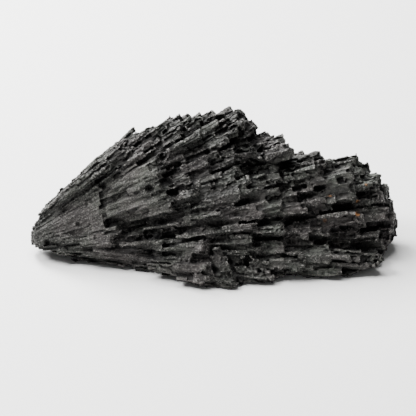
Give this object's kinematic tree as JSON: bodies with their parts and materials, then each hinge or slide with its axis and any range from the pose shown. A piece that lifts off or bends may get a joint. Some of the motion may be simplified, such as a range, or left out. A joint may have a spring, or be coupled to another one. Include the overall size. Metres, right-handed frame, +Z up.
{
  "type": "mineral specimen",
  "caption": "Black kyanite: a fan of intergrown bladed crystals spreading from a blunt tip, lying on its underside with the fan's face tilted back.",
  "frame": {"origin": "middle of the footprint's bounding box, on the surface that it rests on", "axes": "+X from the blunt tip to the wide end, along the longest extent; +Z up; -Y towards the viewer, the side that the fan's face looks to"},
  "size_m": [0.1004, 0.0434, 0.0336],
  "materials": {
    "kyanite": "dark grey to black, granular and striated, with a dull pearly sheen"
  },
  "bodies": {
    "root": {"kyanite_fan": "kyanite"}
  },
  "joints": []
}
